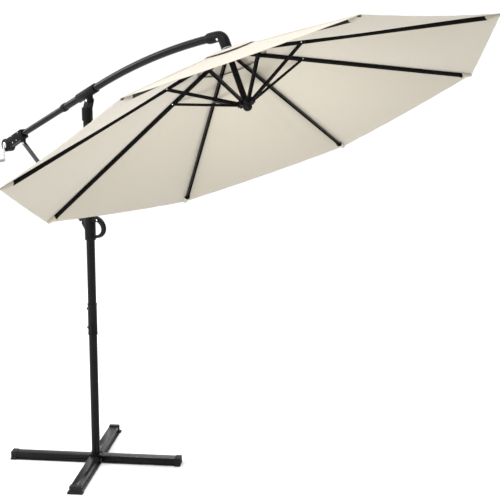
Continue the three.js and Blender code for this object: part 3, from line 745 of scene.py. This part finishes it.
class UMBRELLA_OT_spokes(bpy.types.Operator):
    """Eight ribs and eight stretchers with their rivets and end plugs"""
    bl_idname = "umbrella.spokes"
    bl_label = "Build Ribs and Stretchers"

    def execute(self, context):
        scene = context.scene
        metal = scene.umbrella_frame
        canopy = scene.umbrella_canopy
        reach = (canopy.corner_radius - HINGE_RADIUS) / np.cos(DROOP) - 0.052
        section = channel_section(metal.rib_width, metal.rib_height, 0.0011, 0.002)
        for i in range(SPOKES):
            way = RIB_WAYS[i]
            steps = np.linspace(-0.005, reach, 24)
            path = HINGES[i] + steps[:, None] * way
            shell(f"rib_channel_{i + 1}", capped_sweep(path, section * [-1, 1], ACROSS[i]),
                  f"rib_{i + 1}", "steel", f"rib_{i + 1}")
            ball = rivet(HINGES[i] + way * (reach - 0.001), way, 0.0062, 0.009)
            joint = HINGES[i] + way * STRETCHER_AT
            heads = pair_of_rivets(joint, ACROSS[i], 0.0082, 0.0042, 0.002)
            hinge = pair_of_rivets(HINGES[i], ACROSS[i], 0.0062, 0.0022, 0.0004)
            fittings(f"rib_end_plug_{i + 1}", [ball], f"rib_{i + 1}", "plastic")
            fittings(f"rib_rivets_{i + 1}", heads + hinge, f"rib_{i + 1}")
            finished_copy(f"stretcher_{i + 1}", f"stretcher_channel_{i + 1}", "steel", 0.0004)
            foot = FOOT + OUTWARD[i] * HINGE_RADIUS
            fittings(f"stretcher_foot_rivets_{i + 1}", pair_of_rivets(foot, ACROSS[i], 0.008, 0.003, 0.0006),
                     f"stretcher_{i + 1}")
        return {"FINISHED"}


def mirrored(half, length):
    """A profile from its first half: the second runs back from the far end."""
    half = np.array(half, float)
    return np.concatenate([half, half[::-1] * [-1, 1] + [length, 0]])


def box_of(node):
    """Low and high corner of a CAD node, as arrays."""
    return [np.array(corner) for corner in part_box(node)]


def tube_profile(length, outer, inner, lip=0.001):
    """Closed profile of a tube with rounded lips, as (along, radius)."""
    return mirrored([[lip * 0.4, inner], [0, inner + lip * 0.4], [0, outer - lip], [lip, outer]], length)


def straight_tube(name, node, start, way, length, outer, body):
    """A coated tube of the common wall thickness."""
    profile = tube_profile(length, outer, outer - WALL)
    return shell(name, revolved(profile, start, way, ROUND_SIDES), body, "steel", node)


class UMBRELLA_OT_pole(bpy.types.Operator):
    """The pole in two lengths, its coupling with knobs, and the bracket on top"""
    bl_idname = "umbrella.pole"
    bl_label = "Build Pole"

    def execute(self, context):
        radius = context.scene.umbrella_frame.pole_radius
        for node in ("pole_lower", "pole_upper"):
            low, high = box_of(node)
            straight_tube(f"{node}_tube", node, (0, 0, low[2]), Z_AXIS, high[2] - low[2], radius, "stand")
        low, high = box_of("pole_coupling")
        length = high[2] - low[2]
        inner, outer = 0.0244, 0.027
        profile = mirrored([[0.0006, inner], [0, inner + 0.0006], [0, outer - 0.001], [0.001, outer + 0.0006],
                            [0.010, outer + 0.0006], [0.0115, outer - 0.0004]], length)
        shell("pole_coupling_sleeve", revolved(profile, (0, 0, low[2]), Z_AXIS, ROUND_SIDES),
              "stand", "steel", "pole_coupling")
        for i in range(2):
            self.knob(i)
        finished_copy("pole_top_bracket", "pole_top_yoke", "plastic", 0.0014)
        finished_copy("arm_pivot_bolt", "arm_pivot_bolt_turned", "bright", 0.0008)
        return {"FINISHED"}

    def knob(self, i):
        """Fluted hand knob: radius * (1 + 0.055 cos 9t), with a rounded face, on a boss."""
        low, high = box_of(f"coupling_knob_{i + 1}")
        centre = np.array([low[0], 0, (low[2] + high[2]) / 2])
        depth = high[0] - low[0]
        profile = np.array([[0, 0], [0.0, 0.006], [0.0012, 0.0088], [0.004, 0.0103], [0.0125, 0.0103],
                            [0.0155, 0.0085], [0.0155, 0.004], [depth, 0.004], [depth, 0]])
        sides = 72
        points, faces = revolved(profile, centre, (1, 0, 0), sides)
        angle = np.tile(np.arange(sides) * TURN / sides, len(profile))
        grip = np.repeat(np.clip((profile[:, 1] - 0.007) / 0.003, 0, 1), sides)
        ripple = 1 + 0.055 * grip * np.cos(9 * angle)
        points[:, 1:] = centre[1:] + (points[:, 1:] - centre[1:]) * ripple[:, None]
        shell(f"coupling_hand_knob_{i + 1}", (points, faces), "stand", "plastic",
              f"coupling_knob_{i + 1}", 0.8)


class UMBRELLA_OT_base(bpy.types.Operator):
    """The crossed rails, their end feet, and the flanged post with its bolts"""
    bl_idname = "umbrella.base"
    bl_label = "Build Base"

    def execute(self, context):
        for node in ("base_rail_over", "base_rail_under"):
            finished_copy(node, f"{node}_folded", "base", 0.0016)
        for i in range(4):
            finished_copy(f"foot_cap_{i + 1}", f"foot_cap_moulded_{i + 1}", "rubber", 0.0012)
        finished_copy("centre_pad", "centre_pad_moulded", "rubber", 0.0008)
        finished_copy("base_post", "base_post_welded", "base", 0.001)
        rail_heading = np.radians(38.5)
        reach = 0.026 * np.sqrt(2)
        bolts = []
        for k in range(4):
            way = rail_heading + np.pi / 4 + k * np.pi / 2
            place = np.array([reach * np.cos(way), reach * np.sin(way), FLANGE_TOP])
            bolts.append(bolt_head(place, 0.0055, 0.0045))
        fittings("base_flange_bolts", bolts, "stand", "base")
        weld = [[-0.0002, 0.0236], [0.0028, 0.0246], [0.0006, 0.0272], [-0.0002, 0.0276]]
        bead = revolved(weld, (0, 0, FLANGE_TOP), Z_AXIS, ROUND_SIDES)
        new_piece("base_weld_bead", *bead, "stand", "base")
        return {"FINISHED"}


def bolt_head(place, radius, height):
    """Upright bolt head with a chamfered top, on a washer, turned rather than six-sided."""
    profile = np.array([[0, 0], [0, radius * 1.5], [0.0011, radius * 1.5], [0.0012, radius * 1.12],
                        [height - 0.0008, radius * 1.12], [height, radius * 0.92], [height, 0]])
    return revolved(profile, place, Z_AXIS, 24)


class UMBRELLA_OT_slider(bpy.types.Operator):
    """The sleeve that slides on the pole, its pull lever, and the strut"""
    bl_idname = "umbrella.slider"
    bl_label = "Build Slider and Strut"

    def execute(self, context):
        for copy in (("slider_sleeve", "slider_body", "plastic", 0.0012),
                     ("lock_lever", "slider_pull_lever", "plastic", 0.0028),
                     ("strut", "strut_bar", "strut", 0.0022),
                     ("strut_pin", "strut_pin_turned", "bright", 0.0005),
                     ("lever_pin", "lever_pin_turned", "bright", 0.0005)):
            finished_copy(*copy)
        lower = joint_place("strut_hinge")
        lever = joint_place("lever_pull")
        fittings("slider_rivets", pair_of_rivets(lower, Y_AXIS, 0.0145, 0.0072, 0.0028)
                 + pair_of_rivets(lever, Y_AXIS, 0.0129, 0.0058, 0.0022), "slider")
        top = arm_point(-0.693, -0.008)
        fittings("strut_top_rivets", pair_of_rivets(top, Y_AXIS, 0.0086, 0.006, 0.0024), "strut")
        return {"FINISHED"}


def arm_point(along, up, side=0.0):
    """A point given along and square to the arm, from the arm's pivot."""
    return ARM_PIVOT + along * ARM_WAY + up * ARM_NORMAL + side * Y_AXIS


def bow_path(start, last_run, count=70):
    """Centreline of the bowed tube: straight, an arc of the bow radius, and straight again."""
    turn = np.linspace(0, BOW_TURN, count)
    arc = np.stack([BOW_START + BOW_RADIUS * np.sin(turn), ARM_RISE - BOW_RADIUS * (1 - np.cos(turn))], -1)
    way = np.array([np.cos(BOW_TURN), -np.sin(BOW_TURN)])
    run = arc[-1] + np.linspace(0, ARM_TO_CORNER - last_run, 8)[1:, None] * way
    lead = np.stack([np.linspace(start, BOW_START, 10)[:-1], np.full(9, ARM_RISE)], -1)
    flat = np.concatenate([lead, arc, run])
    return ARM_PIVOT + flat[:, :1] * ARM_WAY + flat[:, 1:] * ARM_NORMAL


class UMBRELLA_OT_arm(bpy.types.Operator):
    """The bowed arm, its lower tube, pivot sleeve, collar and elbow"""
    bl_idname = "umbrella.arm"
    bl_label = "Build Arm"

    def execute(self, context):
        radius = context.scene.umbrella_frame.arm_radius
        path = bow_path(-0.233, 0.072)
        shell("arm_bowed_tube", capped_sweep(path, circle(radius, 48), Y_AXIS), "arm", "steel",
              "arm_upper_tube")
        straight_tube("arm_tail_tube", "arm_lower_tube", arm_point(-0.735, ARM_RISE), ARM_WAY, 0.562, 0.017,
                      "arm")
        self.collar()
        self.elbow(radius)
        self.washer()
        finished_copy("arm_pivot_sleeve", "arm_pivot_saddle", "plastic", 0.0014)
        finished_copy("cord_guide", "cord_guide_pin", "bright", 0.0005)
        finished_copy("hoist_cord", "hoist_cord_line", "cord", 0)
        return {"FINISHED"}

    def collar(self):
        """Stepped collar: a wide ring over the bowed tube that tapers onto the tail tube."""
        profile = [[0, 0.0174], [0, 0.0196], [0.003, 0.0214], [0.010, 0.0228], [0.014, 0.0232],
                   [0.034, 0.0232], [0.038, 0.0222], [0.038, 0.0205], [0.016, 0.0205], [0.0155, 0.0174]]
        shell("arm_collar_moulded", revolved(profile, arm_point(-0.249, ARM_RISE), ARM_WAY, ROUND_SIDES),
              "arm", "plastic", "arm_collar")

    def washer(self):
        """Pale bush between the elbow and the crown's neck."""
        profile = [[0.0, 0.0155], [0.0, 0.0262], [0.0012, 0.0276],
                   [0.0042, 0.0276], [0.0054, 0.0262], [0.0054, 0.0155]]
        shell("crown_neck_bush", revolved(profile, CROWN + MAST_UP * 0.0292, MAST_WAY, 48), "arm", "grip")

    def elbow(self, radius):
        """Hollow bend: a straight socket, then the quadratic curve (1-t)^2 A + 2t(1-t) K + t^2 B."""
        corner = bow_path(0.0, 0.0)[-1]     # where the arm's last straight meets the mast's axis
        way = corner - bow_path(0.0, 0.01)[-1]
        way /= np.linalg.norm(way)
        start = corner - 0.036 * way            # where the bend starts and ends
        end = corner + 0.034 * MAST_WAY
        t = np.linspace(0, 1, 30)[:, None]
        bend = (1 - t) ** 2 * start + 2 * t * (1 - t) * corner + t ** 2 * end
        socket = corner - np.linspace(0.098, 0.0375, 9)[:, None] * way
        skirt = corner + np.linspace(0.0352, 0.0709, 8)[:, None] * MAST_WAY
        path = np.concatenate([socket, bend, skirt])
        outer = np.full(len(path), 0.0268)      # swollen at the socket, drawn in at both mouths
        outer[:9] += 0.0006 * np.sin(np.linspace(0, np.pi, 9))
        outer[0] -= 0.0012
        outer[-1] -= 0.001
        skin, around = swept(path, np.stack([circle(r, 48) for r in outer]), Y_AXIS)
        bore, _ = swept(path, circle(radius + 0.0007, 48), Y_AXIS)
        rows = len(path)
        outside = grid_faces(rows, around, close_columns=True)[:, ::-1]
        inside = grid_faces(rows, around, close_columns=True) + len(skin)
        ring = np.arange(around)
        after = (ring + 1) % around
        last = (rows - 1) * around
        first_rim = np.stack([ring, after, after + len(skin), ring + len(skin)], -1)
        last_rim = np.stack([ring, ring + len(skin), after + len(skin), after], -1) + last
        faces = np.concatenate([outside, inside, first_rim, last_rim])
        shell("arm_elbow_moulded", (np.concatenate([skin, bore]), faces), "arm", "plastic", "arm_elbow")


class UMBRELLA_OT_winch(bpy.types.Operator):
    """The winch case, its drum, the plated crank and its grip"""
    bl_idname = "umbrella.winch"
    bl_label = "Build Winch"

    def execute(self, context):
        for side in ("front", "back"):
            finished_copy(f"winch_case_{side}", f"winch_case_{side}_moulded", "plastic", 0.0018)
        finished_copy("winch_spool", "winch_drum", "plastic", 0.0006)
        finished_copy("crank_handle", "crank_plated", "bright", 0.0012)
        low, high = box_of("crank_knob")
        place = joint_place("knob_spin")
        length = high[1] - low[1]
        profile = [[0, 0.0036], [0.0, 0.0062], [0.0016, 0.0078], [0.006, 0.0086], [length * 0.5, 0.0078],
                   [length - 0.008, 0.0087], [length - 0.002, 0.0078], [length, 0.0055], [length, 0.0036]]
        shell("crank_grip", revolved(profile, (place[0], high[1], place[2]), -Y_AXIS, 40), "knob", "grip",
              "crank_knob", 0.9)
        screws = [rivet(arm_point(x, z, -0.0224), -Y_AXIS, 0.0036, 0.0016)
                  for x, z in ((-0.772, 0.062), (-0.772, 0.022), (-0.700, 0.060), (-0.730, 0.024))]
        fittings("winch_case_screws", screws, "arm")
        return {"FINISHED"}


class UMBRELLA_OT_hub(bpy.types.Operator):
    """The slotted crown and runner, and the short mast between them"""
    bl_idname = "umbrella.hub"
    bl_label = "Build Hub"

    def execute(self, context):
        finished_copy("crown", "crown_moulded", "plastic", 0.001)
        finished_copy("runner", "runner_moulded", "plastic", 0.001)
        top = CROWN + MAST_UP * 0.032
        straight_tube("mast_inner_tube", "mast_tube", top, MAST_WAY, 0.315, 0.015, "runner")
        end = CROWN + MAST_WAY * 0.2855
        t = np.linspace(0, np.pi / 2, 7)
        curve = np.stack([0.012 * np.sin(t), 0.019 * np.cos(t)], -1)
        dome = np.concatenate([[[-0.001, 0.0], [-0.001, 0.019]], curve])
        dome[-1, 1] = 0
        fittings("runner_end_cap", [revolved(dome, end, MAST_WAY, 40)], "runner", "plastic")
        return {"FINISHED"}


# ---------------------------------------------------------------- stage

def aimed(place, way):
    """Transform of a lamp or camera at a place, looking along a way."""
    return Matrix.Translation(place) @ way.to_track_quat("-Z", "Y").to_matrix().to_4x4()


class UMBRELLA_OT_stage(bpy.types.Operator):
    """Pale floor, soft studio light and the camera"""
    bl_idname = "umbrella.stage"
    bl_label = "Build Stage"

    def execute(self, context):
        scene = context.scene
        size = 300.0
        mesh = bpy.data.meshes.new("studio_floor")
        corners = [(-size, -size, 0), (size, -size, 0), (size, size, 0), (-size, size, 0)]
        mesh.from_pydata(corners, [], [(0, 1, 2, 3)])
        floor = bpy.data.objects.new("studio_floor", mesh)
        scene.collection.objects.link(floor)
        material, _, shader, _ = blank_material("white floor", "Object")
        shader.inputs["Base Color"].default_value = (0.93, 0.93, 0.93, 1)
        shader.inputs["Roughness"].default_value = 0.6
        mesh.materials.append(material)
        self.lights(scene)
        self.camera(scene)
        return {"FINISHED"}

    def lights(self, scene):
        """White surroundings, three square lamps, a strip and a spot under the canopy."""
        world = bpy.data.worlds.new("white studio")
        world.use_nodes = True
        background = world.node_tree.nodes["Background"]
        background.inputs["Color"].default_value = (1, 1, 1, 1)
        background.inputs["Strength"].default_value = 1.1
        scene.world = world
        scene.view_settings.view_transform = "Standard"
        # name, place, target, width, height, power in watts
        for name, place, target, width, height, power in (
                ("key_light", (1.6, -3.6, 6.4), (0.8, 0, 2.0), 2.4, 2.4, 250),
                ("side_light", (-5.0, -2.5, 3.4), (0.4, 0, 1.4), 2.2, 2.2, 120),
                ("rim_light", (-3.0, 4.5, 4.0), (0.4, 0, 1.6), 1.6, 1.6, 90),
                ("strip_light", (-0.6, -5.6, 2.0), (0.2, 0, 1.6), 0.7, 4.0, 70)):
            data = bpy.data.lights.new(name, "AREA")
            data.shape = "SQUARE" if width == height else "RECTANGLE"
            data.size, data.size_y = width, height
            self.lamp(scene, data, power, place, target)
        glow = bpy.data.lights.new("canopy_glow", "SPOT")
        glow.spot_size = np.radians(24)
        glow.spot_blend = 1.0
        glow.shadow_soft_size = 0.5
        self.lamp(scene, glow, 620, (3.2, -3.4, 0.6), (1.2, -0.1, 2.1))

    def lamp(self, scene, data, power, place, target):
        """Places a light and aims it at a point."""
        data.energy = power
        lamp = bpy.data.objects.new(data.name, data)
        scene.collection.objects.link(lamp)
        lamp.matrix_world = aimed(place, Vector(target) - Vector(place))

    def camera(self, scene):
        """The main view."""
        data = bpy.data.cameras.new("view")
        data.lens = 86.4
        data.sensor_width = 36
        data.shift_x = 0.009
        data.shift_y = -0.007
        data.clip_end = 2000
        camera = bpy.data.objects.new("view", data)
        scene.collection.objects.link(camera)
        camera.matrix_world = aimed((5.274, -4.060, 2.590), Vector((-0.6924, 0.6944, -0.1962)))
        scene.camera = camera


class UMBRELLA_PT_panel(bpy.types.Panel):
    """Lists the umbrella's settings and steps"""
    bl_label = "Umbrella"
    bl_idname = "UMBRELLA_PT_panel"
    bl_space_type = "VIEW_3D"
    bl_region_type = "UI"
    bl_category = "Umbrella"

    def draw(self, context):
        for settings in (context.scene.umbrella_canopy, context.scene.umbrella_frame):
            for name in settings.__annotations__:
                self.layout.prop(settings, name)
        for operator in OPERATORS:
            self.layout.operator(operator.bl_idname)


OPERATORS = (UMBRELLA_OT_stage, UMBRELLA_OT_base, UMBRELLA_OT_pole, UMBRELLA_OT_slider, UMBRELLA_OT_arm,
             UMBRELLA_OT_winch, UMBRELLA_OT_hub, UMBRELLA_OT_spokes, UMBRELLA_OT_canopy, UMBRELLA_OT_vent_cap)
CLASSES = (UmbrellaCanopySettings, UmbrellaFrameSettings, *OPERATORS, UMBRELLA_PT_panel)


def register():
    """Registers every class and the two groups of settings."""
    for item in CLASSES:
        bpy.utils.register_class(item)
    bpy.types.Scene.umbrella_canopy = bpy.props.PointerProperty(type=UmbrellaCanopySettings)
    bpy.types.Scene.umbrella_frame = bpy.props.PointerProperty(type=UmbrellaFrameSettings)


def unregister():
    """Takes back what register did."""
    del bpy.types.Scene.umbrella_canopy
    del bpy.types.Scene.umbrella_frame
    for item in reversed(CLASSES):
        bpy.utils.unregister_class(item)


def main():
    """Registers the add-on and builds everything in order."""
    register()
    make_finishes(bpy.context.scene)
    for operator in OPERATORS:
        step = operator.bl_idname.split(".")[1]
        if getattr(bpy.ops.umbrella, step)() != {"FINISHED"}:
            raise RuntimeError(f"{operator.bl_label} did not finish")
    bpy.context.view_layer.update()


if __name__ == "__main__":
    main()
